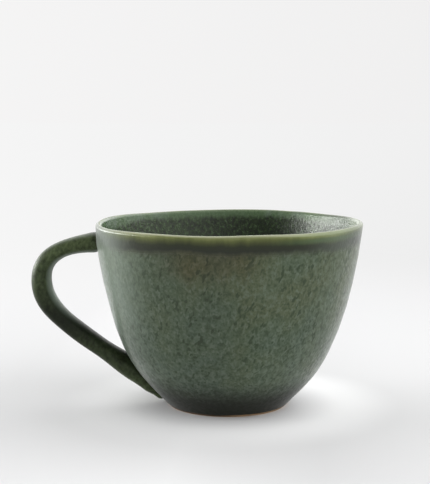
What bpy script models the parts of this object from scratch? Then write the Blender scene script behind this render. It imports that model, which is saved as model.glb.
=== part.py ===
"""A hand-made stoneware cup with one pulled handle, in metres, with +Z up.

The origin is on the floor, at the centre of the whole cup's box. The cup's own axis stands to the +X side of it and
the handle points along -X. The clay body, the clay handle, the slip that joins them and each coat of glaze are
separate solids, with a small gap between neighbours.
"""

from math import cos, pi, radians, sin, tau

import bmesh
import bpy
from mathutils import Vector
from mathutils.geometry import interpolate_bezier

# Overall sizes.
RIM_RADIUS = 0.0525
HEIGHT = 0.0732
FOOT_RADIUS = 0.0233
AXIS_X = 0.0131  # from the middle of the whole cup's length to the cup's own axis

# Thicknesses of the layers.
COAT = 0.0004  # glaze
SLIP_BED = 0.0008  # liquid clay between the wall and the handle
GAP = 0.0003  # kept clear between neighbouring pieces
LIP = 0.0024  # the whole lip, glaze included

# The lip is a half round, so both sides of the wall end half a lip below the top.
LIP_MIDDLE = RIM_RADIUS - LIP / 2
WALL_TOP = HEIGHT - LIP / 2

# Glazed surfaces of the wall as cubic curves, (radius, height), from the bottom up.
OUTSIDE = (
    (FOOT_RADIUS, 0.0),
    (0.0344, 0.0123),
    (0.0467, 0.0206),
    (RIM_RADIUS, WALL_TOP),
)
INSIDE = (
    (0.0, 0.0068),
    (0.0221, 0.0068),
    (0.0379, 0.0034),
    (RIM_RADIUS - LIP, WALL_TOP),
)

# Where the coats end on the outside.
BAND_DEPTH = 0.0073  # the liner glaze runs this far down from the rim
BARE_FOOT = 0.0012  # clay left bare above the floor

# The turned foot, underneath.
RECESS_RADIUS = 0.0185
RECESS_DEPTH = 0.0015
FOOT_CHAMFER = 0.0004

# The handle's centre line, (x, z) from the cup's axis, as cubic curves joined end to end: from inside the wall under
# the lip, round the bend, down to the wall and along it to the tail's tip above the foot.
HANDLE_PATH = (
    ((-0.0480, 0.0653), (-0.0578, 0.0642), (-0.0746, 0.0632), (-0.0746, 0.0490)),
    ((-0.0746, 0.0490), (-0.0746, 0.0371), (-0.0641, 0.0307), (-0.0400, 0.0144)),
    ((-0.0400, 0.0144), (-0.0360, 0.0117), (-0.0305, 0.0072), (-0.0266, 0.0038)),
)
# Its section: (share of the path, half thickness, half width).
HANDLE_SECTIONS = (
    (0.00, 0.0041, 0.0064),
    (0.18, 0.0033, 0.0053),
    (0.36, 0.0041, 0.0050),
    (0.55, 0.0039, 0.0050),
    (0.70, 0.0037, 0.0053),
    (0.85, 0.0042, 0.0062),
    (0.94, 0.0037, 0.0052),
    (1.00, 0.0027, 0.0034),
)
SECTION_POWER = 2.4  # a little squarer than an ellipse
# The stretches of the path, as shares, that hold the two joints. The upper one starts inside the wall's clay.
UPPER_JOINT = (0.025, 0.14)
LOWER_JOINT = (0.74, 1.0)
WELT = 0.0008  # how far the upper slip is squeezed out past the handle

# How finely the curves are cut.
TURN_STEPS = 60
WALL_STEPS = 8
HANDLE_STEPS = 30
SECTION_STEPS = 20
TAIL_ROUNDS = 3
JOINT_STEPS = 9
BAND_STEPS = 2
PATH_STEPS = 60
LIP_ANGLES = (30, 60, 90, 120, 150)
CLAY_LIP_ANGLES = (135, 90, 45)
HALVINGS = 30
WELD = 0.000001  # points closer than this are joined
SHARP_ANGLE = radians(40.0)
PAST = 0.02  # how far the cutters reach above the rim and below the floor

# Surfaces: linear RGB and roughness.
GREEN_GLAZE = ((0.085, 0.115, 0.085), 0.4)
DARK_GLAZE = ((0.045, 0.055, 0.030), 0.35)
BARE_CLAY = ((0.42, 0.29, 0.18), 0.8)
SLIP_CLAY = ((0.36, 0.27, 0.19), 0.7)


def clear_scene():
    for item in list(bpy.data.objects):
        bpy.data.objects.remove(item, do_unlink=True)


def make_material(name, surface):
    colour, roughness = surface
    material = bpy.data.materials.new(name)
    material.use_nodes = True
    shader = material.node_tree.nodes["Principled BSDF"]
    shader.inputs["Base Color"].default_value = (*colour, 1.0)
    shader.inputs["Roughness"].default_value = roughness
    shader.inputs["Metallic"].default_value = 0.0
    return material


def make_axis():
    """The cup's own axis, which every piece is placed from."""
    axis = bpy.data.objects.new("cup_axis", None)
    axis.location = (AXIS_X, 0.0, 0.0)
    bpy.context.scene.collection.objects.link(axis)
    return axis


def add_mesh(name, bm, axis):
    bmesh.ops.recalc_face_normals(bm, faces=bm.faces)
    mesh = bpy.data.meshes.new(name)
    bm.to_mesh(mesh)
    bm.free()
    mesh.shade_smooth()
    mesh.set_sharp_from_angle(angle=SHARP_ANGLE)
    piece = bpy.data.objects.new(name, mesh)
    piece.parent = axis
    bpy.context.scene.collection.objects.link(piece)
    return piece


def make_cutter(piece):
    piece.hide_render = True
    piece.display_type = "WIRE"
    return piece


def combine(piece, other, operation):
    step = piece.modifiers.new(f"{operation.lower()} {other.name}", "BOOLEAN")
    step.operation = operation
    step.object = other


# The wall.


def curve_point(curve, t):
    a, b, c, d = (Vector(point) for point in curve)
    s = 1.0 - t
    return a * s**3 + b * (3.0 * s * s * t) + c * (3.0 * s * t * t) + d * t**3


def curve_direction(curve, t):
    a, b, c, d = (Vector(point) for point in curve)
    s = 1.0 - t
    return ((b - a) * (s * s) + (c - b) * (2.0 * s * t) + (d - c) * (t * t)).normalized()


def share_at_height(height):
    """How far up the outside curve this height is, by halving."""
    low, high = 0.0, 1.0
    for _ in range(HALVINGS):
        middle = (low + high) / 2.0
        if curve_point(OUTSIDE, middle).y < height:
            low = middle
        else:
            high = middle
    return low


def wall_points(curve, shift, start, end, steps):
    """Points along a wall curve, moved to the right of its upward direction: out of the cup, or into the clay."""
    points = []
    for step in range(steps + 1):
        t = start + (end - start) * step / steps
        direction = curve_direction(curve, t)
        points.append(curve_point(curve, t) + Vector((direction.y, -direction.x)) * shift)
    return points


def lip_points(inset, angles):
    """The rounded lip at these angles in degrees, from 0 outside to 180 inside, inset from the glazed surface."""
    reach = LIP / 2 - inset
    middle = Vector((LIP_MIDDLE, WALL_TOP))
    return [middle + Vector((cos(radians(a)), sin(radians(a)))) * reach for a in angles]


def inside_points(inset):
    """The inside from the middle of the floor up to the lip."""
    points = wall_points(INSIDE, inset, 0.0, 1.0, WALL_STEPS + 2)
    points[0].x = 0.0
    return points


def turn(name, outline, closed, axis):
    """A solid turned about the cup's axis from an outline of (radius, height)."""
    bm = bmesh.new()
    ring = [bm.verts.new((radius, 0.0, height)) for radius, height in outline]
    edges = [bm.edges.new(pair) for pair in zip(ring, ring[1:])]
    if closed:
        edges.append(bm.edges.new((ring[-1], ring[0])))
    bmesh.ops.spin(
        bm,
        geom=ring + edges,
        cent=(0.0, 0.0, 0.0),
        axis=(0.0, 0.0, 1.0),
        angle=tau,
        steps=TURN_STEPS,
        use_merge=True,
    )
    bmesh.ops.remove_doubles(bm, verts=bm.verts, dist=WELD)
    return add_mesh(name, bm, axis)


def wall_cutter(name, shift, axis):
    """Everything inside the glazed outside, grown or shrunk, and on past the rim and the floor."""
    side = wall_points(OUTSIDE, shift, 1.0, 0.0, 2 * WALL_STEPS)
    over = Vector((side[0].x, HEIGHT + PAST))
    under = Vector((side[-1].x, -PAST))
    outline = [Vector((0.0, over.y)), over, *side, under, Vector((0.0, under.y))]
    return make_cutter(turn(name, outline, False, axis))


# The handle.


def section_at(share):
    """Half thickness and half width, eased from one listed section to the next."""
    for (low, *first), (high, *second) in zip(HANDLE_SECTIONS, HANDLE_SECTIONS[1:]):
        if share <= high:
            t = (share - low) / (high - low)
            ease = t * t * (3.0 - 2.0 * t)
            return [a + (b - a) * ease for a, b in zip(first, second)]
    return list(HANDLE_SECTIONS[-1][1:])


def handle_line(start, end, steps):
    """(share, centre, direction) at equal steps of length along the handle's path."""
    line = []
    for curve in HANDLE_PATH:
        corners = [Vector((x, 0.0, z)) for x, z in curve]
        line += interpolate_bezier(*corners, PATH_STEPS)[1 if line else 0 :]
    lengths = [0.0]
    for first, second in zip(line, line[1:]):
        lengths.append(lengths[-1] + (second - first).length)
    found = []
    for step in range(steps + 1):
        share = start + (end - start) * step / steps
        wanted = share * lengths[-1]
        i = max(1, next((n for n, reached in enumerate(lengths) if reached >= wanted), len(line) - 1))
        along = (wanted - lengths[i - 1]) / (lengths[i] - lengths[i - 1])
        centre = line[i - 1].lerp(line[i], along)
        found.append((share, centre, (line[i] - line[i - 1]).normalized()))
    return found


def section_ring(bm, centre, direction, thick, wide):
    """One closed ring across the handle's path."""
    across = Vector((direction.z, 0.0, -direction.x))
    ring = []
    for step in range(SECTION_STEPS):
        angle = tau * step / SECTION_STEPS
        x = abs(cos(angle)) ** (2.0 / SECTION_POWER)
        y = abs(sin(angle)) ** (2.0 / SECTION_POWER)
        offset = across * (x * thick if cos(angle) > 0.0 else -x * thick)
        offset.y = y * wide if sin(angle) > 0.0 else -y * wide
        ring.append(bm.verts.new(centre + offset))
    return ring


def sweep_handle(name, inset, axis, start=0.0, end=1.0, steps=HANDLE_STEPS):
    """The handle, or a stretch of it, with its skin taken in by inset. The tail's tip is rounded."""
    bm = bmesh.new()
    rings = []
    line = handle_line(start, end, steps)
    for share, centre, direction in line:
        thick, wide = section_at(share)
        rings.append(section_ring(bm, centre, direction, thick - inset, wide - inset))
    share, centre, direction = line[-1]
    if share == 1.0:
        thick, wide = (half - inset for half in section_at(1.0))
        for step in range(1, TAIL_ROUNDS + 1):
            angle = step / (TAIL_ROUNDS + 0.5) * pi / 2.0
            tip = centre + direction * (thick * sin(angle))
            rings.append(section_ring(bm, tip, direction, thick * cos(angle), wide * cos(angle)))
    for first, second in zip(rings, rings[1:]):
        for i in range(SECTION_STEPS):
            j = (i + 1) % SECTION_STEPS
            bm.faces.new((first[i], first[j], second[j], second[i]))
    bm.faces.new(reversed(rings[0]))
    bm.faces.new(rings[-1])
    return add_mesh(name, bm, axis)


# The pieces.


def make_body(axis):
    """The thrown bowl with its turned foot, in bare clay."""
    bared = COAT + GAP
    foot_share = share_at_height(BARE_FOOT - GAP)
    side = wall_points(OUTSIDE, -bared, 1.0, foot_share, WALL_STEPS + 1)
    foot_top = curve_point(OUTSIDE, foot_share)
    outline = [
        *inside_points(bared),
        *lip_points(bared, CLAY_LIP_ANGLES),
        *side,
        foot_top,
        Vector((FOOT_RADIUS, FOOT_CHAMFER)),
        Vector((FOOT_RADIUS - FOOT_CHAMFER, 0.0)),
        Vector((RECESS_RADIUS + FOOT_CHAMFER, 0.0)),
        Vector((RECESS_RADIUS, FOOT_CHAMFER)),
        Vector((RECESS_RADIUS - FOOT_CHAMFER, RECESS_DEPTH)),
        Vector((0.0, RECESS_DEPTH)),
    ]
    body = turn("cup_body", outline, False, axis)
    body.data.materials.append(make_material("bare_clay", BARE_CLAY))


def make_liner_glaze(axis, joint):
    """The coat inside, over the lip and a little way down the outside, cut away around the handle's upper end."""
    band_edge = share_at_height(HEIGHT - BAND_DEPTH)
    down = wall_points(OUTSIDE, 0.0, 1.0, band_edge, BAND_STEPS)
    back = wall_points(OUTSIDE, -COAT, band_edge, 1.0, BAND_STEPS)
    outline = [
        *inside_points(0.0),
        *lip_points(0.0, reversed(LIP_ANGLES)),
        *down,
        *back,
        *lip_points(COAT, LIP_ANGLES),
        *reversed(inside_points(COAT)),
    ]
    coat = turn("liner_glaze", outline, False, axis)
    coat.data.materials.append(make_material("liner_glaze", DARK_GLAZE))
    combine(coat, joint, "DIFFERENCE")


def make_outer_glaze(axis, joints):
    """The coat outside, from the band down to the bare foot, cut away at both ends of the handle."""
    top = share_at_height(HEIGHT - BAND_DEPTH - GAP)
    bottom = share_at_height(BARE_FOOT)
    outline = [
        *wall_points(OUTSIDE, 0.0, top, bottom, WALL_STEPS),
        *wall_points(OUTSIDE, -COAT, bottom, top, WALL_STEPS),
    ]
    coat = turn("outer_glaze", outline, True, axis)
    coat.data.materials.append(make_material("outer_glaze", GREEN_GLAZE))
    for joint in joints:
        combine(coat, joint, "DIFFERENCE")


def make_handle(axis, wall):
    """The pulled strap of clay, under its own coat, ended where the slip begins."""
    strap = sweep_handle("handle", COAT + GAP, axis)
    strap.data.materials.append(make_material("handle_clay", BARE_CLAY))
    combine(strap, wall, "DIFFERENCE")


def make_handle_glaze(axis, wall):
    """The coat over the handle: a sleeve, open towards the wall at both ends."""
    hollow = make_cutter(sweep_handle("handle_hollow", COAT, axis))
    sleeve = sweep_handle("handle_glaze", 0.0, axis)
    sleeve.data.materials.append(make_material("handle_glaze", GREEN_GLAZE))
    combine(sleeve, hollow, "DIFFERENCE")
    combine(sleeve, wall, "DIFFERENCE")


def make_slip(name, inset, start, end, axis):
    """A bed of slip of even thickness between the wall and one end of the handle."""
    bed = sweep_handle(name, inset, axis, start, end, JOINT_STEPS)
    bed.data.materials.append(make_material(name, SLIP_CLAY))
    top = wall_cutter(f"{name}_top", SLIP_BED - COAT, axis)
    bottom = wall_cutter(f"{name}_bottom", -COAT, axis)
    combine(bed, top, "INTERSECT")
    combine(bed, bottom, "DIFFERENCE")


def joint_cutter(name, inset, start, end, axis):
    """The room that a bed of slip takes up in the glaze."""
    return make_cutter(sweep_handle(name, inset - GAP, axis, start, end, JOINT_STEPS))


def main():
    clear_scene()
    axis = make_axis()
    upper = (-WELT, *UPPER_JOINT)
    lower = (COAT + GAP, *LOWER_JOINT)
    upper_joint = joint_cutter("upper_joint", *upper, axis)
    lower_joint = joint_cutter("lower_joint", *lower, axis)
    handle_end = wall_cutter("handle_end", SLIP_BED - COAT + GAP, axis)
    make_body(axis)
    make_handle(axis, handle_end)
    make_slip("upper_slip", *upper, axis)
    make_slip("lower_slip", *lower, axis)
    make_liner_glaze(axis, upper_joint)
    make_outer_glaze(axis, (upper_joint, lower_joint))
    make_handle_glaze(axis, handle_end)


main()
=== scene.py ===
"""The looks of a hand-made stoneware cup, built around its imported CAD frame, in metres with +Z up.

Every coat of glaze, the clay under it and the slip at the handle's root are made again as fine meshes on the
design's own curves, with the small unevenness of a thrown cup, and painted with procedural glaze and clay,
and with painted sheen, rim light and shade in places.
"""

from math import pi, radians, tau

import bpy
import numpy as np
from mathutils import Matrix, Vector


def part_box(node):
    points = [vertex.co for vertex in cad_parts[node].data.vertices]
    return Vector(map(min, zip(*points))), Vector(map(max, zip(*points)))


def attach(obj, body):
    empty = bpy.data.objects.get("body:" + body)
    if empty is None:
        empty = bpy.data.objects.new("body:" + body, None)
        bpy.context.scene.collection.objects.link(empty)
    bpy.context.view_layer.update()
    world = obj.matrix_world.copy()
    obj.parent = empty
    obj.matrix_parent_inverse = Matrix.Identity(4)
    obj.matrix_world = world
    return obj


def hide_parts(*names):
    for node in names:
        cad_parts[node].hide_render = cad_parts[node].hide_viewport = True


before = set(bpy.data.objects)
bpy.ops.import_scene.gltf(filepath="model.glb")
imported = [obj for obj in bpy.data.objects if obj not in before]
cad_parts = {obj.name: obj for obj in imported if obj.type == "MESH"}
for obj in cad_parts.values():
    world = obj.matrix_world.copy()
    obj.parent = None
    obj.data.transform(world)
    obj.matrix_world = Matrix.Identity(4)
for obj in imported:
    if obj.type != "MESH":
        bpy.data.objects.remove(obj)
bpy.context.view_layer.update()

MM = 0.001

# Driving sizes, from the frame.
liner_low, liner_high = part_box("liner_glaze")
AXIS_X = (liner_low.x + liner_high.x) / 2
RIM_RADIUS = (liner_high.x - liner_low.x) / 2
HEIGHT = liner_high.z

# The design's own thicknesses and curves, as in the CAD model unless a comment says otherwise. Curves are
# (radius, height) for the wall and (x, z) for the handle, both from the cup's axis.
COAT = 0.4 * MM
GAP = 0.3 * MM
LIP = 2.4 * MM
LIP_MIDDLE = RIM_RADIUS - LIP / 2
WALL_TOP = HEIGHT - LIP / 2
FOOT_RADIUS = 23.3 * MM
OUTSIDE = np.array(((FOOT_RADIUS, 0.0), (0.0344, 0.0123), (0.0467, 0.0206), (RIM_RADIUS, WALL_TOP)))
INSIDE = np.array(((0.0, 0.0068), (0.0221, 0.0068), (0.0379, 0.0034), (RIM_RADIUS - LIP, WALL_TOP)))
BAND_DEPTH = 7.3 * MM
BARE_FOOT = 0.8 * MM  # The CAD model has 1.2 mm.
RECESS_RADIUS = 18.5 * MM
RECESS_DEPTH = 1.5 * MM
HANDLE_PATH = np.array(
    (
        ((-0.0480, 0.0646), (-0.0578, 0.0636), (-0.0746, 0.0628), (-0.0746, 0.0490)),
        ((-0.0746, 0.0490), (-0.0746, 0.0371), (-0.0641, 0.0307), (-0.0400, 0.0144)),
        ((-0.0400, 0.0144), (-0.0360, 0.0117), (-0.0305, 0.0072), (-0.0266, 0.0038)),
    )
)
# Share of the handle's length, half thickness and half width.
HANDLE_SECTIONS = np.array(
    (
        (0.00, 0.0041, 0.0064),
        (0.18, 0.0033, 0.0053),
        (0.36, 0.0041, 0.0050),
        (0.55, 0.00375, 0.0050),
        (0.70, 0.0036, 0.0053),
        (0.85, 0.0042, 0.0062),
        (0.94, 0.0037, 0.0052),
        (1.00, 0.0027, 0.0034),
    )
)
SECTION_POWER = 2.15  # The CAD model has 2.4.

# How much the rim stands above (+) or below (-) its design height, in millimetres, by angle in degrees from
# +X.
RIM_WAVE = (
    (-180, -0.50), (-165, -0.90), (-150, -1.00), (-125, -0.70), (-115, -0.70), (-105, -0.85), (-90, -0.80),
    (-80, -0.50), (-70, -0.45), (-55, -0.60), (-40, -0.45), (-25, -0.20), (0, 0.05), (25, -0.15), (40, -0.40),
    (50, -0.30), (58, -0.15), (63, -0.25), (68, -0.05), (75, 0.00), (90, -0.10), (105, -0.30), (120, -0.40),
    (135, -0.50), (150, -0.20), (165, -0.15), (180, -0.50),
)

# How finely the pieces are cut.
AROUND = 448
UP_OUTSIDE = 150
UP_INSIDE = 110
ALONG_HANDLE = 220
AROUND_HANDLE = 72
READ_STEPS = 2001  # where a wall curve is read by height
PATH_STEPS = 400  # where the handle's path is measured
SHARP_ANGLE = radians(50)

# Small lengths at the edges of the pieces.
ROLLED_SHARE = 0.006  # of the wall's curve, for the rolled lower edge of its glaze
SEAM = 0.02 * MM  # between the two coats of glaze on the wall
PAST = 20 * MM  # how far a cutter reaches past what it cuts
SLIP_SPREAD = 0.45 * MM  # how far the slip stands out round the handle
SLIP_OUTSIDE = 0.34 * MM  # how far the slip stands proud of the wall
SLIP_INSIDE = 0.38 * MM  # how far the slip reaches under the wall's surface


# Curves and the cup's unevenness.


def bezier(curve, t):
    """Points and unit directions on a cubic curve at each t."""
    t = np.asarray(t, float)[:, None]
    s = 1.0 - t
    a, b, c, d = curve
    point = a * s**3 + b * (3 * s * s * t) + c * (3 * s * t * t) + d * t**3
    along = (b - a) * (s * s) + (c - b) * (2 * s * t) + (d - c) * (t * t)
    return point, along / np.linalg.norm(along, axis=1)[:, None]


def wall_line(curve, shift, start, end, steps):
    """(radius, height) along a wall curve, moved to the right of its upward direction."""
    point, along = bezier(curve, np.linspace(start, end, steps + 1))
    return point + np.stack((along[:, 1], -along[:, 0]), 1) * shift


def share_at_height(height):
    """Where on the outside curve, from 0 to 1, the wall has this height."""
    t = np.linspace(0.0, 1.0, READ_STEPS)
    return float(np.interp(height, bezier(OUTSIDE, t)[0][:, 1], t))


def lip_line(inset, start, end, steps):
    """The half-round lip between two angles in degrees, 0 outside and 180 inside."""
    angle = np.radians(np.linspace(start, end, steps + 1))
    reach = LIP / 2 - inset
    return np.stack((LIP_MIDDLE + reach * np.cos(angle), WALL_TOP + reach * np.sin(angle)), 1)


def hump(angle, centre, width):
    """A smooth hump around the cup, centred on an angle in degrees."""
    away = (angle - radians(centre) + pi) % tau - pi
    return np.exp(-((away / radians(width)) ** 2))


def swelling(share, middle, width):
    """A smooth swelling around a share of the height or of the handle's length."""
    return np.exp(-(((share - middle) / width) ** 2))


def smooth(low, high, value):
    """Eases from 0 at low to 1 at high."""
    t = np.clip((value - low) / (high - low), 0.0, 1.0)
    return t * t * (3.0 - 2.0 * t)


def rim_line():
    """The rim's rise at every degree, with the table's corners rounded off."""
    listed = np.array(RIM_WAVE)
    degrees = np.arange(-180.0, 181.0)
    rise = np.interp(degrees, listed[:, 0], listed[:, 1])
    reach = 9
    weight = swelling(np.arange(-reach, reach + 1), 0.0, 3.5)
    wrapped = np.concatenate((rise[-reach - 1 : -1], rise, rise[1 : reach + 1]))
    return np.radians(degrees), np.convolve(wrapped, weight / weight.sum(), "valid")


RIM_ANGLES, RIM_RISES = rim_line()


def uneven(points):
    """Moves points of the perfect cup, (n, 3) from its axis, to where the thrown and fired cup has them."""
    x, y, z = points.T
    radius = np.hypot(x, y)
    angle = np.arctan2(y, x)
    up = np.clip(z / HEIGHT, 0.0, 1.0)
    wide = np.clip(radius / RIM_RADIUS, 0.0, 1.0)
    lean = 0.35 * MM * smooth(0.45, 1.0, up) - 0.4 * MM * swelling(up, 0.22, 0.2)
    out_of_round = 0.16 * np.cos(2 * angle + 0.7) + 0.1 * np.cos(3 * angle + 2.1)
    flat_lip = 0.5 * hump(angle, 180, 45) * smooth(0.88, 1.0, up)
    flat_waist = 0.35 * hump(angle, 180, 40) * swelling(up, 0.56, 0.14)
    belly = 0.8 * hump(angle, 0, 50) * swelling(up, 0.19, 0.12) * smooth(0.02, 0.1, up)
    throwing_rings = 0.03 * np.sin(z / (1.5 * MM) + np.sin(angle))
    throwing_rings = throwing_rings * smooth(0.05, 0.2, up) * smooth(0.97, 0.85, up)
    outwards = out_of_round * up - flat_lip - flat_waist + belly + throwing_rings
    grow = 1.0 + outwards * MM * wide / np.maximum(radius, MM)
    rise = np.interp(angle, RIM_ANGLES, RIM_RISES) * MM * smooth(0.5, 1.0, up)
    wave = 0.35 * np.sin(3 * angle + 0.4) + 0.25 * np.sin(7 * angle + 1.9) + 0.12 * np.sin(13 * angle + 0.3)
    wave = wave * MM * swelling(z - HEIGHT, -BAND_DEPTH, 3 * MM)
    return np.stack((x * grow + lean * wide, y * grow, z + rise + wave), 1)


# Meshes from grids of points.


def grid_faces(rows, columns, wrap_rows=False):
    """Quads of a grid whose columns run round and close."""
    row = np.arange(rows if wrap_rows else rows - 1)[:, None]
    column = np.arange(columns)[None, :]
    down = (row + 1) % rows
    right = (column + 1) % columns
    corners = (row * columns + column, row * columns + right, down * columns + right, down * columns + column)
    return np.stack(np.broadcast_arrays(*corners), -1).reshape(-1, 4)


def add_piece(name, points, quads, fans=()):
    """A mesh object from points, quads and fans of (centre, ring) that close its ends."""
    triangles = []
    for centre, ring in fans:
        points = np.vstack((points, centre))
        tip = np.full(len(ring), len(points) - 1)
        triangles.append(np.stack((tip, ring, np.roll(ring, -1)), 1))
    faces = [*quads.tolist(), *(face for fan in triangles for face in fan.tolist())]
    mesh = bpy.data.meshes.new(name)
    mesh.from_pydata(points.tolist(), [], faces)
    mesh.validate()
    mesh.shade_smooth()
    piece = bpy.data.objects.new(name, mesh)
    bpy.context.scene.collection.objects.link(piece)
    return piece


def turn(name, outline, closed):
    """A piece turned from an outline of (radius, height), with the cup's unevenness.

    The outline is a closed ring, or it has both of its ends on the axis.
    """
    inner = outline if closed else outline[1:-1]
    angle = np.linspace(0.0, tau, AROUND, endpoint=False)
    x = inner[:, 0, None] * np.cos(angle)
    y = inner[:, 0, None] * np.sin(angle)
    z = np.repeat(inner[:, 1, None], AROUND, 1)
    points = np.stack((x, y, z), -1).reshape(-1, 3)
    quads = grid_faces(len(inner), AROUND, closed)
    fans = []
    if not closed:
        first = np.arange(AROUND)
        last = (len(inner) - 1) * AROUND + first
        fans = [((0.0, 0.0, outline[0][1]), first[::-1]), ((0.0, 0.0, outline[-1][1]), last)]
    piece = add_piece(name, points, quads, fans)
    place(piece, uneven)
    return piece


def place(piece, warp=None):
    """Warps a piece that was made about its own axis, and moves it to the cup's axis."""
    mesh = piece.data
    points = read_points(mesh)
    if warp:
        points = warp(points)
    points[:, 0] += AXIS_X
    mesh.vertices.foreach_set("co", points.astype(np.float32).ravel())
    mesh.update()


def read_points(mesh):
    flat = np.empty(len(mesh.vertices) * 3, np.float32)
    mesh.vertices.foreach_get("co", flat)
    return flat.reshape(-1, 3).astype(float)


def face_outwards(piece):
    """Turns all faces over if the mesh encloses a negative volume."""
    mesh = piece.data
    mesh.calc_loop_triangles()
    corners = np.empty(len(mesh.loop_triangles) * 3, np.int32)
    mesh.loop_triangles.foreach_get("vertices", corners)
    a, b, c = read_points(mesh)[corners.reshape(-1, 3)].transpose(1, 0, 2)
    if np.einsum("ij,ij->i", a, np.cross(b, c)).sum() < 0:
        mesh.flip_normals()


def set_values(piece, name, values):
    """A number for each point of the mesh, for its material to read."""
    attribute = piece.data.attributes.new(name, "FLOAT", "POINT")
    attribute.data.foreach_set("value", np.asarray(values, np.float32))


# Materials.


class Painter:
    """Builds one material's nodes, with short calls for the ones used here."""

    def __init__(self, name):
        self.material = bpy.data.materials.new(name)
        self.material.use_nodes = True
        self.tree = self.material.node_tree
        self.shader = self.tree.nodes["Principled BSDF"]
        self.shader.inputs["Metallic"].default_value = 0.0
        coordinates = self.tree.nodes.new("ShaderNodeTexCoord")
        self.place = coordinates.outputs["Object"]

    def feed(self, socket, value):
        if isinstance(value, bpy.types.NodeSocket):
            self.tree.links.new(value, socket)
        else:
            socket.default_value = value

    def stretched(self, x, y, z, lean=0.0):
        """Coordinates in millimetres, leant over by an angle and stretched by these factors."""
        node = self.tree.nodes.new("ShaderNodeMapping")
        node.vector_type = "TEXTURE"
        self.feed(node.inputs["Vector"], self.place)
        node.inputs["Rotation"].default_value = (0.0, lean, 0.0)
        node.inputs["Scale"].default_value = (MM / x, MM / y, MM / z)
        return node.outputs["Vector"]

    def noise(self, vector, size, detail=2.0, rough=0.5, twist=0.0):
        """Noise whose features are about size millimetres across."""
        node = self.tree.nodes.new("ShaderNodeTexNoise")
        self.feed(node.inputs["Vector"], vector)
        node.inputs["Scale"].default_value = 1.0 / size
        node.inputs["Detail"].default_value = detail
        node.inputs["Roughness"].default_value = rough
        node.inputs["Distortion"].default_value = twist
        return node.outputs["Fac"]

    def cells(self, vector, size):
        """Distance from the middle of soft cells about size millimetres apart."""
        node = self.tree.nodes.new("ShaderNodeTexVoronoi")
        node.feature = "SMOOTH_F1"
        self.feed(node.inputs["Vector"], vector)
        node.inputs["Scale"].default_value = 1.0 / size
        node.inputs["Smoothness"].default_value = 0.35
        return node.outputs["Distance"]

    def axis(self, name):
        """One coordinate of the frame, in millimetres."""
        node = self.tree.nodes.new("ShaderNodeSeparateXYZ")
        self.feed(node.inputs[0], self.place)
        return self.math("DIVIDE", node.outputs[name], MM)

    def across(self):
        """How far to the right of the cup's axis, in millimetres."""
        return self.math("SUBTRACT", self.axis("X"), AXIS_X / MM)

    def value(self, name):
        """The number that the mesh carries at each point under this name."""
        node = self.tree.nodes.new("ShaderNodeAttribute")
        node.attribute_name = name
        return node.outputs["Fac"]

    def math(self, operation, first, second=0.0, third=0.0, clamp=False):
        """The result of one arithmetic operation."""
        node = self.tree.nodes.new("ShaderNodeMath")
        node.operation = operation
        node.use_clamp = clamp
        for socket, value in zip(node.inputs, (first, second, third)):
            self.feed(socket, value)
        return node.outputs["Value"]

    def between(self, value, low, high, start=0.0, end=1.0):
        """Value from low to high, eased to run from start to end."""
        node = self.tree.nodes.new("ShaderNodeMapRange")
        node.interpolation_type = "SMOOTHSTEP"
        names = ("Value", "From Min", "From Max", "To Min", "To Max")
        for name, given in zip(names, (value, low, high, start, end)):
            self.feed(node.inputs[name], given)
        return node.outputs["Result"]

    def ramp(self, factor, *stops):
        """A colour for each (position, (r, g, b)) stop."""
        node = self.tree.nodes.new("ShaderNodeValToRGB")
        self.feed(node.inputs["Fac"], factor)
        elements = node.color_ramp.elements
        while len(elements) < len(stops):
            elements.new(0.5)
        for element, (position, colour) in zip(elements, stops):
            element.position = position
            element.color = (*colour, 1.0)
        return node.outputs["Color"]

    def mix(self, factor, first, second, blend="MIX"):
        node = self.tree.nodes.new("ShaderNodeMix")
        node.data_type = "RGBA"
        node.blend_type = blend
        colours = [socket for socket in node.inputs if socket.type == "RGBA"]
        self.feed(node.inputs["Factor"], factor)
        for socket, value in zip(colours, (first, second)):
            self.feed(socket, value if isinstance(value, bpy.types.NodeSocket) else (*value, 1.0))
        return next(socket for socket in node.outputs if socket.type == "RGBA")

    def bump(self, height, distance, below=None):
        """Relief whose height of 1 stands distance millimetres proud."""
        node = self.tree.nodes.new("ShaderNodeBump")
        node.inputs["Strength"].default_value = 1.0
        node.inputs["Distance"].default_value = distance * MM
        self.feed(node.inputs["Height"], height)
        if below:
            self.feed(node.inputs["Normal"], below)
        return node.outputs["Normal"]

    def finish(self, colour, roughness, normal=None):
        self.feed(self.shader.inputs["Base Color"], colour)
        self.feed(self.shader.inputs["Roughness"], roughness)
        if normal:
            self.feed(self.shader.inputs["Normal"], normal)
            self.feed(self.shader.inputs["Coat Normal"], normal)
        return self.material


def srgb(red, green, blue):
    """Linear colour from 8-bit sRGB values."""
    shares = (red / 255, green / 255, blue / 255)
    return tuple(share / 12.92 if share <= 0.04045 else ((share + 0.055) / 1.055) ** 2.4 for share in shares)
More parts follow.
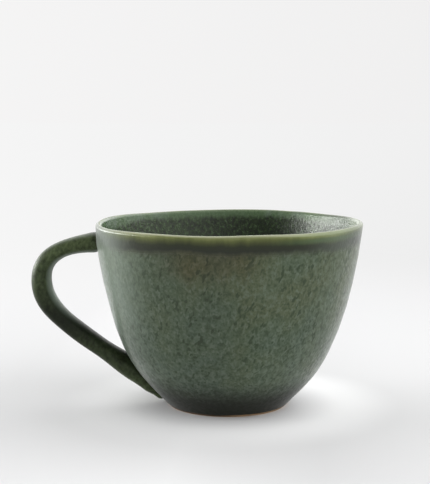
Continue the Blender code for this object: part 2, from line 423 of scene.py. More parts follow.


# Glaze colours, among them painted sheen and painted shade, and ramps of (position, colour): across the
# overlap of the glazes, in the ring of liner just inside the lip, and over the mottling below it.
GREEN = (0.050, 0.069, 0.041)
OLIVE = (0.055, 0.069, 0.037)
BLUE_GREEN = (0.050, 0.071, 0.049)
PALE_GREEN = (0.092, 0.115, 0.086)
DEEP_GREEN = (0.019, 0.030, 0.015)
UPPER_TINT = (0.88, 0.70, 0.58)
PALE_SHEEN = (0.18, 0.215, 0.18)
RIGHT_LIP = (0.17, 0.225, 0.080)
RIGHT_GREEN = (0.050, 0.085, 0.034)
# Painted shade: near black for the lowest part of the wall, which sits in shade by the table.
FOOT_PAINTED_SHADE = (0.004, 0.0045, 0.002)
CREST = (0.30, 0.315, 0.20)
OUTSIDE_BAND = (
    (0.00, (0.20, 0.21, 0.11)),
    (0.07, (0.14, 0.155, 0.055)),
    (0.14, (0.078, 0.090, 0.026)),
    (0.22, (0.040, 0.047, 0.014)),
    (0.32, (0.015, 0.018, 0.008)),
    (0.48, (0.013, 0.015, 0.010)),
    (0.64, (0.036, 0.036, 0.022)),
)
INSIDE_RING = (
    (0.00, (0.26, 0.27, 0.17)),
    (0.10, (0.12, 0.165, 0.09)),
    (0.25, (0.068, 0.118, 0.052)),
    (0.80, (0.042, 0.072, 0.027)),
)
INSIDE_PALE = (0.15, 0.19, 0.155)
# A painted sheen for the inside of the rim's right end.
RIM_PAINTED_SHEEN = (0.27, 0.31, 0.23)
INSIDE_DEEP = ((0.38, (0.001, 0.003, 0.000)), (0.54, (0.009, 0.021, 0.002)), (0.70, (0.056, 0.096, 0.040)))
HANDLE_DARK = (0.007, 0.009, 0.002)
HANDLE_GREEN = (0.027, 0.037, 0.012)
SLIP_OLIVE = (0.050, 0.046, 0.018)

# Clay colours.
DARK_CLAY = srgb(150, 118, 86)
LIGHT_CLAY = srgb(186, 152, 112)
SAND = srgb(206, 176, 138)
IRON = srgb(92, 62, 42)
# Painted shade for the clay just under the glaze's edge.
CLAY_PAINTED_SHADE = srgb(40, 32, 24)


# In the glazes, across is how far to the right of the cup's axis, depth is down from the lip's crest, and
# height is up from the floor, all in millimetres.


def green_glaze(paint):
    """The reactive green: cloudy tone, soft mottling that runs a little down the wall, and dark flecks."""
    cloud = paint.noise(paint.stretched(1, 1, 1), size=14.0, detail=3.0, rough=0.55)
    mottle = paint.noise(paint.stretched(1, 1, 0.8), size=1.6, detail=3.0, rough=0.55, twist=0.3)
    grain = paint.noise(paint.stretched(1, 1, 0.8), size=0.8, detail=2.0, rough=0.5)
    fleck = paint.noise(paint.stretched(1, 1, 0.5, radians(24.0)), size=1.5, detail=1.0, rough=0.5)
    patch = paint.noise(paint.stretched(1, 1, 1), size=12.0, detail=2.0, rough=0.5)
    cooler = paint.between(paint.axis("Z"), 55.0, 20.0, -0.10, 0.08)
    # Painted sheen: the green turns bluer towards the left, the hue of the grey-blue sheen on that side.
    cooler = paint.math("ADD", cooler, paint.between(paint.axis("X"), 15.0, -25.0, 0.0, 0.16))
    colour = paint.ramp(paint.math("ADD", cloud, cooler), (0.30, OLIVE), (0.5, GREEN), (0.70, BLUE_GREEN))
    light = paint.between(mottle, 0.46, 0.72)
    colour = paint.mix(paint.math("MULTIPLY", light, 0.6), colour, PALE_GREEN)
    dark = paint.between(mottle, 0.50, 0.28)
    colour = paint.mix(paint.math("MULTIPLY", dark, 0.65), colour, DEEP_GREEN)
    colour = paint.mix(paint.between(grain, 0.50, 0.30, 0.0, 0.4), colour, DEEP_GREEN)
    spot = paint.math("MULTIPLY", paint.between(fleck, 0.43, 0.32), paint.between(patch, 0.38, 0.52))
    colour = paint.mix(paint.math("MULTIPLY", spot, 0.85), colour, DEEP_GREEN)
    return colour, mottle, grain


def shade(paint, colour, factor):
    """The colour made lighter or darker by a factor of 0 to 4."""
    grey = paint.tree.nodes.new("ShaderNodeCombineXYZ")
    for socket in grey.inputs:
        paint.feed(socket, factor)
    return paint.mix(1.0, colour, grey.outputs[0], "MULTIPLY")


def glaze_relief(paint, mottle, grain, strength=1.0):
    """Soft swellings of a thick glaze, and the pitting of its stony skin."""
    below = paint.bump(mottle, 0.10 * strength)
    return paint.bump(grain, 0.035 * strength, below)


def satin(paint, bend=1.3, sheen=0.16, coat=0.4, tint=(0.92, 1.0, 0.86)):
    """The glassy but not mirror-like gloss of a satin glaze."""
    paint.shader.inputs["IOR"].default_value = bend
    paint.shader.inputs["Specular Tint"].default_value = (*tint, 1.0)
    paint.shader.inputs["Coat Weight"].default_value = coat
    paint.shader.inputs["Coat IOR"].default_value = 1.3
    paint.shader.inputs["Coat Roughness"].default_value = 0.16
    paint.shader.inputs["Sheen Weight"].default_value = sheen
    paint.shader.inputs["Sheen Roughness"].default_value = 0.25
    paint.shader.inputs["Sheen Tint"].default_value = (0.92, 0.95, 0.93, 1.0)


def band_colour(paint, depth, edge):
    """The overlap of the two glazes: pale crest, olive, then near black, and greener to the right.

    Both ends get a painted sheen and are darkened as painted shade.
    """
    across = paint.across()
    right = paint.between(across, 10.0, 42.0)
    share = paint.math("DIVIDE", paint.math("MULTIPLY_ADD", right, -0.8, edge), 12.0, clamp=True)
    colour = paint.ramp(share, *OUTSIDE_BAND)
    crest = paint.between(paint.math("MULTIPLY_ADD", right, -0.5, depth), 0.75, 0.2)
    colour = paint.mix(crest, colour, CREST)
    bright = paint.math("MULTIPLY", paint.between(across, 18.0, 40.0), paint.between(depth, 2.8, 0.7))
    colour = paint.mix(paint.math("MULTIPLY", bright, 0.5), colour, RIGHT_LIP)
    runny = paint.math("MULTIPLY", paint.between(depth, 1.4, 2.6), paint.between(depth, 4.4, 2.8))
    runny = paint.math("MULTIPLY", runny, paint.between(across, 14.0, 36.0))
    colour = paint.mix(paint.math("MULTIPLY", runny, 0.75), colour, RIGHT_GREEN)
    # Painted sheen: both ends of the band are mixed towards a pale grey-green, most at the left.
    left_painted_sheen = paint.between(across, -30.0, -50.0, 0.0, 0.8)
    colour = paint.mix(left_painted_sheen, colour, PALE_SHEEN)
    right_painted_sheen = paint.between(across, 26.0, 50.0, 0.0, 0.3)
    colour = paint.mix(right_painted_sheen, colour, PALE_SHEEN)
    # Painted shade: both ends of the band and crest are made darker.
    ends = paint.between(paint.math("ABSOLUTE", across), 42.0, 51.0)
    return shade(paint, colour, paint.math("MULTIPLY_ADD", ends, -0.35, 1.0)), crest


def body_colour(paint, colour, height, wave):
    """The wall's slow changes: thick and brown under the band, a painted sheen at the upper left, and painted
    light right of the axis and along the right edge.
    """
    across = paint.across()
    # Painted sheen: the upper left of the wall is mixed towards a pale grey-green and made lighter.
    upper_left_sheen = paint.math("MULTIPLY", paint.between(across, -24.0, -45.0), paint.between(height, 22.0, 42.0))
    thick = paint.between(paint.math("MULTIPLY_ADD", wave, 16.0, height), 61.0, 70.0)
    thick = paint.math("MULTIPLY", thick, paint.between(across, -27.0, -12.0))
    thick = paint.math("MULTIPLY", thick, paint.between(across, 20.0, 4.0))
    colour = paint.mix(thick, colour, UPPER_TINT, "MULTIPLY")
    # Painted sheen mixed in, and the same place lightened.
    colour = paint.mix(paint.math("MULTIPLY", upper_left_sheen, 0.42), colour, PALE_SHEEN)
    tone = paint.math("MULTIPLY_ADD", upper_left_sheen, 0.35, 1.0)
    # Painted light: lighter right of the axis, and a painted rim light along the right edge.
    tone = paint.math("ADD", tone, paint.between(across, -5.0, 17.0, 0.0, 0.2))
    tone = paint.math("ADD", tone, paint.between(across, 32.0, 46.0, 0.0, 0.1))
    return shade(paint, colour, tone)


def wall_glaze():
    """The outside of the wall, from the lip's crest down to the foot, darkened towards the foot as painted
    shade.
    """
    paint = Painter("reactive_green_glaze")
    satin(paint)
    colour, mottle, grain = green_glaze(paint)
    depth = paint.math("MULTIPLY", paint.value("from_lip"), 1.0 / MM)
    height = paint.math("MULTIPLY", paint.value("height"), 1.0 / MM)
    wave = paint.noise(paint.stretched(1, 1, 0.2), size=8.0, detail=3.0, rough=0.6)
    fine = paint.noise(paint.stretched(1, 1, 0.4), size=1.8, detail=2.0, rough=0.5)
    edge = paint.math("ADD", depth, paint.math("MULTIPLY_ADD", wave, 2.6, -1.3))
    edge = paint.math("ADD", edge, paint.math("MULTIPLY_ADD", fine, 0.9, -0.2))
    band, crest = band_colour(paint, depth, edge)
    below_band = paint.between(edge, 5.4, 9.2)
    colour = paint.mix(below_band, band, body_colour(paint, colour, height, wave))
    # Painted shade: the wall darkens to near black towards the foot.
    foot = paint.between(paint.math("MULTIPLY_ADD", mottle, 2.0, height), 19.5, 6.0)
    colour = paint.mix(paint.math("MULTIPLY", foot, 0.97), colour, FOOT_PAINTED_SHADE)
    rough = paint.math("MULTIPLY_ADD", foot, 0.4, paint.between(mottle, 0.3, 0.7, 0.42, 0.30))
    rough = paint.math("MULTIPLY_ADD", crest, 0.3, rough)
    return paint.finish(colour, rough, glaze_relief(paint, mottle, grain))


def inside_glaze():
    """The liner inside: pale at the lip, green below it, then a dark mottled green in runs.

    Lighter on the left as painted light, the ring darker towards the right as painted shade, and a painted
    sheen at the rim's right end.
    """
    paint = Painter("liner_glaze_inside")
    satin(paint, bend=1.45, sheen=0.0, coat=0.12, tint=(0.86, 0.93, 0.82))
    depth = paint.math("MULTIPLY", paint.value("from_lip"), -1.0 / MM)
    runs = paint.noise(paint.stretched(1, 1, 0.22), size=1.5, detail=3.0, rough=0.6)
    wave = paint.noise(paint.stretched(1, 1, 0.3), size=9.0, detail=2.0, rough=0.5)
    mottle = paint.noise(paint.stretched(1, 1, 0.7), size=1.2, detail=4.0, rough=0.65)
    grain = paint.noise(paint.stretched(1, 1, 0.9), size=0.7, detail=2.0, rough=0.5)
    edge = paint.math("ADD", depth, paint.math("MULTIPLY_ADD", runs, 3.6, -1.8))
    edge = paint.math("ADD", edge, paint.math("MULTIPLY_ADD", wave, 2.6, -1.3))
    across = paint.across()
    sides = paint.math("ABSOLUTE", across)
    edge = paint.math("ADD", edge, paint.between(sides, 36.0, 49.0, 0.0, -2.6))
    ring = paint.ramp(paint.math("DIVIDE", depth, 8.0, clamp=True), *INSIDE_RING)
    cloudy = paint.between(wave, 0.5, 0.68, 0.0, 0.45)
    ring = paint.mix(cloudy, ring, INSIDE_PALE)
    # Painted shade: the pale ring is darker towards the right.
    ring = shade(paint, ring, paint.between(across, 33.0, 44.0, 1.0, 0.5))
    # Painted light: the dark green below the ring is lighter towards the left.
    deep = shade(paint, paint.ramp(mottle, *INSIDE_DEEP), paint.between(across, 5.0, -35.0, 1.0, 1.35))
    colour = paint.mix(paint.between(edge, 2.6, 4.8), ring, deep)
    # Painted sheen: the inside of the rim's right end is mixed towards pale.
    right_painted_sheen = paint.between(across, 46.5, 50.5, 0.0, 0.8)
    colour = paint.mix(right_painted_sheen, colour, RIM_PAINTED_SHEEN)
    rough = paint.between(mottle, 0.3, 0.7, 0.32, 0.22)
    rough = paint.math("ADD", rough, paint.between(depth, 0.9, 0.3, 0.0, 0.3))
    return paint.finish(colour, rough, glaze_relief(paint, mottle, grain, 1.85))


def handle_glaze():
    """The same green on the handle, darker and more olive, with painted light, shade and rim light."""
    paint = Painter("reactive_green_glaze_handle")
    satin(paint, bend=1.28, sheen=0.05, coat=0.0)
    colour, mottle, grain = green_glaze(paint)
    dark = paint.ramp(mottle, (0.3, HANDLE_DARK), (0.7, HANDLE_GREEN))
    colour = paint.mix(0.85, colour, dark)
    height = paint.axis("Z")
    outward = paint.value("outward")
    # Painted rim light: masks for pale bands along the handle's inner and outer edges.
    inner = paint.math("MULTIPLY", paint.between(outward, -0.5, -0.95), paint.between(height, 28.0, 42.0))
    outer = paint.math("MULTIPLY", paint.between(outward, 0.6, 0.97), paint.between(height, 24.0, 36.0))
    # Painted light and shade: the handle is darkest about 33 mm up, lighter towards its top and its tail.
    tone = paint.between(height, 34.0, 50.0, 0.3, 1.4)
    tone = paint.math("ADD", tone, paint.between(height, 52.0, 62.0, 0.0, 0.6))
    tone = paint.math("ADD", tone, paint.between(height, 31.0, 22.0, 0.0, 0.7))
    tone = paint.math("ADD", tone, paint.between(height, 17.0, 8.0, 0.0, 1.0))
    colour = shade(paint, colour, tone)
    # Painted rim light mixed in along the outer and inner edges.
    colour = paint.mix(paint.math("MULTIPLY", outer, 0.4), colour, PALE_GREEN)
    colour = paint.mix(paint.math("MULTIPLY", inner, 0.75), colour, PALE_SHEEN)
    rough = paint.between(mottle, 0.3, 0.7, 0.48, 0.40)
    return paint.finish(colour, rough, glaze_relief(paint, mottle, grain, 0.6))


def slip_glaze():
    """Slip squeezed out at the joints, under a thin dark glaze."""
    paint = Painter("glazed_slip")
    satin(paint)
    tone = paint.noise(paint.stretched(1, 1, 1), size=1.6, detail=3.0, rough=0.6)
    grain = paint.noise(paint.stretched(1, 1, 1), size=0.5, detail=2.0, rough=0.5)
    colour = paint.ramp(tone, (0.3, HANDLE_DARK), (0.7, SLIP_OLIVE))
    rough = paint.between(tone, 0.3, 0.7, 0.5, 0.38)
    return paint.finish(colour, rough, glaze_relief(paint, tone, grain, 0.6))


def bare_clay():
    """Fired stoneware: tan, sandy, with iron specks, and darkened just under the glaze's edge as painted
    shade.
    """
    paint = Painter("bare_stoneware_clay")
    tone = paint.noise(paint.stretched(1, 1, 1), size=8.0, detail=3.0, rough=0.6)
    grain = paint.noise(paint.stretched(1, 1, 1), size=0.35, detail=3.0, rough=0.6)
    speck = paint.cells(paint.stretched(1, 1, 1), 1.4)
    colour = paint.ramp(tone, (0.3, DARK_CLAY), (0.7, LIGHT_CLAY))
    colour = paint.mix(paint.between(speck, 0.14, 0.05), colour, IRON)
    sandy = paint.math("MULTIPLY", paint.between(grain, 0.35, 0.7), 0.35)
    colour = paint.mix(sandy, colour, SAND)
    # Painted shade: the clay darkens just under the glaze's edge, most near X = 0.
    above_ring = paint.between(paint.axis("Z"), 0.15, 0.45)
    middle = paint.between(paint.math("ABSOLUTE", paint.axis("X")), 19.0, 11.0, 0.35, 0.93)
    colour = paint.mix(paint.math("MULTIPLY", above_ring, middle), colour, CLAY_PAINTED_SHADE)
    rough = paint.between(grain, 0.3, 0.7, 0.72, 0.92)
    return paint.finish(colour, rough, paint.bump(grain, 0.05))


# The pieces.


def coat_values(piece, from_lip, perfect):
    """Each point's distance from the lip's crest, less than 0 inside, and its height on the perfect cup."""
    set_values(piece, "from_lip", from_lip)
    set_values(piece, "height", perfect)


def cut_and_apply(piece, cutters, operation="DIFFERENCE"):
    """Cuts pieces away with exact Booleans, keeps the result and removes the cutters."""
    for cutter in cutters:
        step = piece.modifiers.new("cut", "BOOLEAN")
        step.operation = operation
        step.solver = "EXACT"
        step.object = cutter
    graph = bpy.context.evaluated_depsgraph_get()
    result = bpy.data.meshes.new_from_object(piece.evaluated_get(graph))
    piece.modifiers.clear()
    piece.data = result
    for cutter in cutters:
        bpy.data.objects.remove(cutter, do_unlink=True)


def make_outer_coat(glaze):
    """The green coat on the wall, from under the band's edge to a rolled edge above the bare foot."""
    top = share_at_height(HEIGHT - BAND_DEPTH - SEAM)
    bottom = share_at_height(BARE_FOOT)
    roll = COAT / 2
    outside = wall_line(OUTSIDE, 0.0, top, bottom + ROLLED_SHARE, steps=UP_OUTSIDE)
    point, along = (found[0] for found in bezier(OUTSIDE, [bottom + ROLLED_SHARE]))
    normal = np.array((along[1], -along[0]))
    angle = np.radians(np.linspace(0.0, 180.0, 8))[1:-1, None]
    edge = point - normal * roll + normal * roll * np.cos(angle) - along * roll * np.sin(angle)
    inside = wall_line(OUTSIDE, -COAT, bottom + ROLLED_SHARE, top, steps=24)
    outline = np.vstack((outside, edge, inside))
    coat = turn("outer_glaze_coat", outline, True)
    heights = np.repeat(outline[:, 1], AROUND)
    coat_values(coat, HEIGHT - heights, heights)
    finish_piece(coat, glaze, "green_glaze", "outer_glaze")


def make_liner_coat(outside_glaze, inside_glaze_material):
    """The liner: all of the inside, over the lip and down to the band's edge."""
    band = share_at_height(HEIGHT - BAND_DEPTH)
    parts = (
        wall_line(INSIDE, 0.0, 0.0, 1.0, steps=UP_INSIDE),
        lip_line(0.0, 180, 0, steps=26)[1:-1],
        wall_line(OUTSIDE, 0.0, 1.0, band, steps=24),
        wall_line(OUTSIDE, -COAT, band, 1.0, steps=10),
        lip_line(COAT, 0, 180, steps=10)[1:-1],
        wall_line(INSIDE, COAT, 1.0, 0.0, steps=40),
    )
    outline = np.vstack(parts)
    outline[0, 0] = 0.0
    outline[-1, 0] = 0.0
    coat = turn("liner_glaze_coat", outline, False)
    crest = len(parts[0]) + len(parts[1]) // 2
    lengths = np.concatenate(((0.0,), np.cumsum(np.linalg.norm(np.diff(outline, axis=0), axis=1))))
    from_lip = (lengths - lengths[crest])[1:-1]
    from_lip = np.where(from_lip > 0, HEIGHT - outline[1:-1, 1], from_lip)
    values = np.append(np.repeat(from_lip, AROUND), (from_lip[0], from_lip[-1]))
    heights = np.append(np.repeat(outline[1:-1, 1], AROUND), (outline[0, 1], outline[-1, 1]))
    coat_values(coat, values, heights)
    coat.data.materials.append(outside_glaze)
    coat.data.materials.append(inside_glaze_material)
    rows = len(outline) - 2
    slots = np.zeros(len(coat.data.polygons), np.int32)
    slots[: (crest - 1) * AROUND] = 1
    slots[(rows - 1) * AROUND : rows * AROUND] = 1
    coat.data.polygons.foreach_set("material_index", slots)
    finish_piece(coat, None, "liner_glaze", "liner_glaze")


def make_clay_body(clay):
    """The thrown bowl and its turned foot."""
    bared = COAT + GAP
    foot_share = share_at_height(BARE_FOOT - GAP / 2)
    foot = np.array(
        (
            bezier(OUTSIDE, [foot_share])[0][0],
            (FOOT_RADIUS + 0.25 * MM, 0.35 * MM),
            (FOOT_RADIUS - 0.15 * MM, 0.06 * MM),
            (FOOT_RADIUS - 0.5 * MM, 0.0),
            (RECESS_RADIUS + 0.9 * MM, 0.0),
            (RECESS_RADIUS + 0.45 * MM, 0.1 * MM),
            (RECESS_RADIUS + 0.1 * MM, 0.5 * MM),
            (RECESS_RADIUS - 0.3 * MM, 1.2 * MM),
            (RECESS_RADIUS - 0.9 * MM, RECESS_DEPTH),
        )
    )
    radius = np.linspace(RECESS_RADIUS - 1.3 * MM, 0.0, 60)
    trimming_rings = 0.06 * MM * np.sin(radius / (0.55 * MM)) * smooth(0.0, 2 * MM, radius)
    recess = np.stack((radius, RECESS_DEPTH + trimming_rings), 1)
    outline = np.vstack(
        (
            wall_line(INSIDE, bared, 0.0, 1.0, steps=60),
            lip_line(bared, 180, 0, steps=8)[1:-1],
            wall_line(OUTSIDE, -bared, 1.0, foot_share, steps=60),
            foot,
            recess,
        )
    )
    outline[0, 0] = 0.0
    body = turn("clay_body", outline, False)
    finish_piece(body, clay, "bare_clay", "cup_body")


def finish_piece(piece, material, slot_name, *nodes):
    """Gives a piece its material, and has it stand in for these nodes of the frame. slot_name is not used."""
    if material:
        piece.data.materials.append(material)
    face_outwards(piece)
    piece.data.set_sharp_from_angle(angle=SHARP_ANGLE)
    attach(piece, "root")
    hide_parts(*nodes)


def handle_line(shares):
    """Centres and directions at these shares of the handle path's length."""
    t = np.linspace(0.0, 1.0, PATH_STEPS)
    curves = [bezier(curve, t) for curve in HANDLE_PATH]
    points = np.vstack([point for point, along in curves])
    directions = np.vstack([along for point, along in curves])
    lengths = np.concatenate(((0.0,), np.cumsum(np.linalg.norm(np.diff(points, axis=0), axis=1))))
    wanted = shares * lengths[-1]
    centre = np.stack([np.interp(wanted, lengths, column) for column in points.T], 1)
    along = np.stack([np.interp(wanted, lengths, column) for column in directions.T], 1)
    return centre, along / np.linalg.norm(along, axis=1)[:, None]


def handle_sizes(shares):
    """Half thickness and half width, eased between the listed sections."""
    low = np.clip(np.searchsorted(HANDLE_SECTIONS[:, 0], shares) - 1, 0, len(HANDLE_SECTIONS) - 2)
    first, second = HANDLE_SECTIONS[low], HANDLE_SECTIONS[low + 1]
    t = smooth(0.0, 1.0, (shares - first[:, 0]) / (second[:, 0] - first[:, 0]))
    return first[:, 1] + (second[:, 1] - first[:, 1]) * t, first[:, 2] + (second[:, 2] - first[:, 2]) * t


def sweep_handle(name, inset, start=0.0, end=1.0, steps=ALONG_HANDLE):
    """The handle's closed surface, taken in by inset, with a rounded tip at its tail."""
    shares = np.linspace(start, end, steps + 1)
    centre, along = handle_line(shares)
    thick, wide = handle_sizes(shares)
    collar = 0.1 * swelling(shares, 0.058, 0.012) - 0.3 * smooth(0.048, 0.034, shares)
    ripple = 0.05 * np.sin(31 * shares + 1.0) * smooth(0.05, 0.12, shares)
    grow = (collar + ripple) * MM
    thick = thick + grow - inset
    wide = wide + grow - inset
    tip = np.radians(np.linspace(0.0, 84.0, 9))[1:]
    centre = np.vstack((centre, centre[-1] + along[-1] * thick[-1] * np.sin(tip)[:, None]))
    along = np.vstack((along, np.repeat(along[-1:], len(tip), 0)))
    thick = np.append(thick, thick[-1] * np.cos(tip))
    wide = np.append(wide, wide[-1] * np.cos(tip))
    angle = np.linspace(0.0, tau, AROUND_HANDLE, endpoint=False)
    out = np.sign(np.cos(angle)) * np.abs(np.cos(angle)) ** (2 / SECTION_POWER)
    side = np.sign(np.sin(angle)) * np.abs(np.sin(angle)) ** (2 / SECTION_POWER)
    x = centre[:, 0, None] + along[:, 1, None] * thick[:, None] * out
    z = centre[:, 1, None] - along[:, 0, None] * thick[:, None] * out
    y = wide[:, None] * side
    points = np.stack((x, y, z), -1).reshape(-1, 3)
    rings = len(centre)
    first = np.arange(AROUND_HANDLE)
    last = (rings - 1) * AROUND_HANDLE + first
    ends = [(points[first].mean(0), first[::-1]), (points[last].mean(0), last)]
    piece = add_piece(name, points, grid_faces(rings, AROUND_HANDLE), ends)
    set_values(piece, "outward", np.append(np.tile(out, rings), (0.0, 0.0)))
    place(piece)
    face_outwards(piece)
    return piece


def wall_cutter(shift):
    """Everything inside the uneven outside of the wall, grown by shift."""
    side = wall_line(OUTSIDE, shift, 1.0, 0.0, steps=90)
    above = ((0.0, HEIGHT + PAST), (side[0, 0], HEIGHT + PAST))
    beneath = ((side[-1, 0], -PAST), (0.0, -PAST))
    cutter = turn("wall_cutter", np.vstack((above, side, beneath)), False)
    face_outwards(cutter)
    return cutter


def make_handle_coat(glaze):
    """The sleeve of glaze round the handle, open towards the wall where the slip joins it."""
    coat = sweep_handle("handle_glaze_coat", 0.0)
    hollow = sweep_handle("hollow", COAT)
    cut_and_apply(coat, [hollow, wall_cutter(0.03 * MM)])
    coat.data.shade_smooth()
    coat.data.materials.clear()
    finish_piece(coat, glaze, "green_glaze", "handle_glaze")


def make_handle_clay(clay):
    """The pulled handle's own clay, inside the glaze and against the slip."""
    core = sweep_handle("handle_clay", COAT + GAP)
    cut_and_apply(core, [wall_cutter(COAT + GAP)])
    core.data.shade_smooth()
    core.data.materials.clear()
    finish_piece(core, clay, "bare_clay", "handle")


def make_slip_bed(name, node, material, start, end, low, high):
    """A thin bed of slip between the wall and one end of the handle, squeezed out a little round it."""
    bed = sweep_handle(name, -SLIP_SPREAD, start, end, steps=60)
    low, high = share_at_height(low), share_at_height(high)
    outer = wall_line(OUTSIDE, SLIP_OUTSIDE, low, high, steps=40)
    inner = wall_line(OUTSIDE, -SLIP_INSIDE, high, low, steps=40)
    slab = turn("slab", np.vstack((outer, inner)), True)
    face_outwards(slab)
    cut_and_apply(bed, [slab], "INTERSECT")
    bed.data.shade_smooth()
    bed.data.materials.clear()
    finish_piece(bed, material, "slip", node)


# The stage.


# The floor: its half width, its painted shadow under the cup, its greys beside it, and its painted shade
# further out as (X in millimetres, grey). An edge is two distances from the cup's axis, and one grey gives
# way to the next between them. From FADE_START to FADE_END the floor turns into the evenly lit distance.
FLOOR_HALF = 8.0
CUP_SHADOW_GREY = (0.74, 0.74, 0.745)
UNDER_CUP_EDGE = (45 * MM, 30 * MM)
BESIDE_CUP = ((0.3, (0.82, 0.82, 0.825)), (0.7, (0.84, 0.84, 0.845)))
OUTER_SHADE_GREYS = ((-80.0, 0.62), (-40.0, 0.69), (0.0, 0.755), (50.0, 0.62), (80.0, 0.63))
OUTER_HALF = 100.0
OUTER_EDGE = (43 * MM, 71 * MM)
FADE_START = 0.12
FADE_END = 0.5


def make_floor():
    """A wide, pale, matt surface to stand on, with painted shadow and shade round the cup, that runs off into
    the evenly lit distance.
    """
    half = FLOOR_HALF
    corners = [(-half, -half, 0.0), (half, -half, 0.0), (half, half, 0.0), (-half, half, 0.0)]
    mesh = bpy.data.meshes.new("floor")
    mesh.from_pydata(corners, [], [(0, 1, 2, 3)])
    floor = bpy.data.objects.new("floor", mesh)
    bpy.context.scene.collection.objects.link(floor)
    paint = Painter("pale_floor")
    nodes = paint.tree.nodes
    offset = nodes.new("ShaderNodeVectorMath")
    offset.operation = "SUBTRACT"
    paint.feed(offset.inputs[0], paint.place)
    offset.inputs[1].default_value = (AXIS_X, 0.0, 0.0)
    length = nodes.new("ShaderNodeVectorMath")
    length.operation = "LENGTH"
    paint.feed(length.inputs[0], offset.outputs[0])
    distance = length.outputs["Value"]
    tone = paint.noise(paint.stretched(1, 1, 1), size=60.0, detail=2.0, rough=0.5)
    colour = paint.ramp(tone, *BESIDE_CUP)
    # Painted shadow: a darker grey on the floor under and round the cup's foot.
    colour = paint.mix(paint.between(distance, *UNDER_CUP_EDGE), colour, CUP_SHADOW_GREY)
    # Painted shade: further out the floor is darker, most to the left and right.
    share = paint.math("MULTIPLY_ADD", paint.axis("X"), 0.5 / OUTER_HALF, 0.5, clamp=True)
    stops = ((0.5 + 0.5 * x / OUTER_HALF, (grey, grey, grey + 0.005)) for x, grey in OUTER_SHADE_GREYS)
    outer = paint.ramp(share, *stops)
    colour = paint.mix(paint.between(distance, *OUTER_EDGE), colour, outer)
    mesh.materials.append(paint.finish(colour, 0.8))
    far = nodes.new("ShaderNodeEmission")
    aside = paint.math("DIVIDE", paint.axis("X"), paint.math("DIVIDE", distance, MM))
    paint.feed(far.inputs["Strength"], paint.math("MULTIPLY_ADD", aside, -BACKDROP_FALL, BACKDROP))
    both = nodes.new("ShaderNodeMixShader")
    paint.feed(both.inputs[0], paint.between(distance, FADE_START, FADE_END))
    paint.feed(both.inputs[1], paint.shader.outputs[0])
    paint.feed(both.inputs[2], far.outputs[0])
    paint.feed(nodes["Material Output"].inputs["Surface"], both.outputs[0])


# The backdrop's brightness straight ahead, and how much darker it gets towards +X.
BACKDROP = 0.885
BACKDROP_FALL = 0.10

# The studio's brightness seen from the cup: a row for each elevation in degrees, with a value every 36
# degrees from the camera's side towards +X, and one value near the zenith.
DOME = (
    (-1, (1.8, 2.5, 2.9, 2.7, 2.5, 2.1, 1.8, 1.6, 1.2, 1.1)),
    (18, (0.4, 1.1, 1.6, 1.8, 2.3, 2.2, 1.8, 1.1, 0.5, 0.2)),
    (45, (1.1, 2.1, 2.7, 2.7, 2.5, 2.2, 1.6, 0.8, 0.5, 0.5)),
    (80, (0.2,)),
)

# A softbox low on the left: what it adds, at shares of the way round, and the elevations where it starts, is
# brightest and ends.
SOFTBOX = ((0.0, 0.0), (0.60, 0.0), (0.65, 12.5), (0.70, 15.0), (0.75, 32.0), (0.80, 3.0), (0.85, 0.0))
SOFTBOX_LOW, SOFTBOX_MIDDLE, SOFTBOX_HIGH = -1.0, 8.0, 18.0


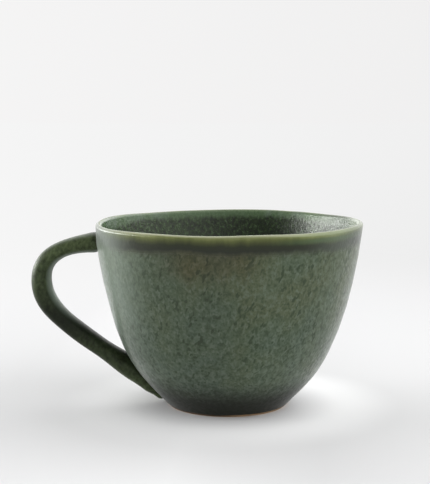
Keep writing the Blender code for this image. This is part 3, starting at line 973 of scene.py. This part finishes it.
def make_world():
    """The studio as a soft dome of light, with a plain pale backdrop."""
    world = bpy.data.worlds.new("studio")
    bpy.context.scene.world = world
    world.use_nodes = True
    tree = world.node_tree
    nodes = tree.nodes

    def math(operation, first, second=0.0):
        node = nodes.new("ShaderNodeMath")
        node.operation = operation
        for socket, value in zip(node.inputs, (first, second)):
            if isinstance(value, bpy.types.NodeSocket):
                tree.links.new(value, socket)
            else:
                socket.default_value = value
        return node.outputs["Value"]

    direction = nodes.new("ShaderNodeSeparateXYZ")
    tree.links.new(nodes.new("ShaderNodeTexCoord").outputs["Generated"], direction.inputs[0])
    turned = math("ARCTAN2", direction.outputs["X"], math("MULTIPLY", direction.outputs["Y"], -1.0))
    share = math("FRACT", math("ADD", math("DIVIDE", turned, tau), 1.0))
    elevation = math("DIVIDE", math("ARCSINE", direction.outputs["Z"]), radians(1.0))

    def ramp(stops):
        node = nodes.new("ShaderNodeValToRGB")
        tree.links.new(share, node.inputs["Fac"])
        elements = node.color_ramp.elements
        while len(elements) < len(stops):
            elements.new(0.5)
        for element, (position, value) in zip(elements, stops):
            element.position = position
            element.color = (value, value, value, 1.0)
        return node.outputs["Color"]

    rings = [ramp([(n / len(row), value) for n, value in enumerate((*row, row[0]))]) for degrees, row in DOME]
    heights = [degrees for degrees, row in DOME]
    light = rings[0]
    for ring, low, high in zip(rings[1:], heights, heights[1:]):
        blend = nodes.new("ShaderNodeMix")
        blend.clamp_factor = True
        step = math("DIVIDE", math("SUBTRACT", elevation, low), high - low)
        tree.links.new(step, blend.inputs["Factor"])
        tree.links.new(light, blend.inputs["A"])
        tree.links.new(ring, blend.inputs["B"])
        light = blend.outputs["Result"]
    rising = math("DIVIDE", math("SUBTRACT", elevation, SOFTBOX_LOW), SOFTBOX_MIDDLE - SOFTBOX_LOW)
    falling = math("DIVIDE", math("SUBTRACT", SOFTBOX_HIGH, elevation), SOFTBOX_HIGH - SOFTBOX_MIDDLE)
    tent = math("MAXIMUM", math("MINIMUM", rising, falling), 0.0)
    light = math("ADD", light, math("MULTIPLY", tent, ramp(SOFTBOX)))
    background = nodes["Background"]
    background.inputs["Color"].default_value = (1.0, 1.0, 1.0, 1.0)
    tree.links.new(light, background.inputs["Strength"])
    backdrop = nodes.new("ShaderNodeBackground")
    backdrop.inputs["Color"].default_value = (1.0, 0.995, 0.995, 1.0)
    fall = math("MULTIPLY", direction.outputs["X"], BACKDROP_FALL)
    tree.links.new(math("SUBTRACT", BACKDROP, fall), backdrop.inputs["Strength"])
    path = nodes.new("ShaderNodeLightPath")
    both = nodes.new("ShaderNodeMixShader")
    tree.links.new(path.outputs["Is Camera Ray"], both.inputs[0])
    tree.links.new(background.outputs[0], both.inputs[1])
    tree.links.new(backdrop.outputs[0], both.inputs[2])
    tree.links.new(both.outputs[0], nodes["World Output"].inputs["Surface"])


def make_camera():
    """A long lens close to the cup, a little above its rim and turned a little away from the handle."""
    distance = 461.8 * MM
    height = 117.6 * MM
    sideways = -5.0 * MM
    pitch = radians(6.55)
    turned = radians(4.0)
    data = bpy.data.cameras.new("camera")
    data.sensor_width = 36.0
    data.lens = 87.6
    data.clip_start = 0.01
    camera = bpy.data.objects.new("camera", data)
    spot = Matrix.Rotation(turned, 4, "Z") @ Vector((sideways, -distance, height))
    camera.location = spot + Vector((AXIS_X, 0.0, 0.0))
    camera.rotation_euler = (pi / 2 - pitch, 0.0, turned)
    bpy.context.scene.collection.objects.link(camera)
    bpy.context.scene.camera = camera


def main():
    make_camera()
    make_world()
    make_floor()
    wall = wall_glaze()
    clay = bare_clay()
    make_outer_coat(wall)
    make_liner_coat(wall, inside_glaze())
    make_clay_body(clay)
    make_handle_coat(handle_glaze())
    make_handle_clay(clay)
    slip = slip_glaze()
    make_slip_bed("upper_slip_bed", "upper_slip", slip, start=0.0, end=0.16, low=45 * MM, high=72 * MM)
    make_slip_bed("lower_slip_bed", "lower_slip", slip, start=0.70, end=1.0, low=0.5 * MM, high=30 * MM)
    bpy.context.scene.view_settings.view_transform = "Standard"


main()
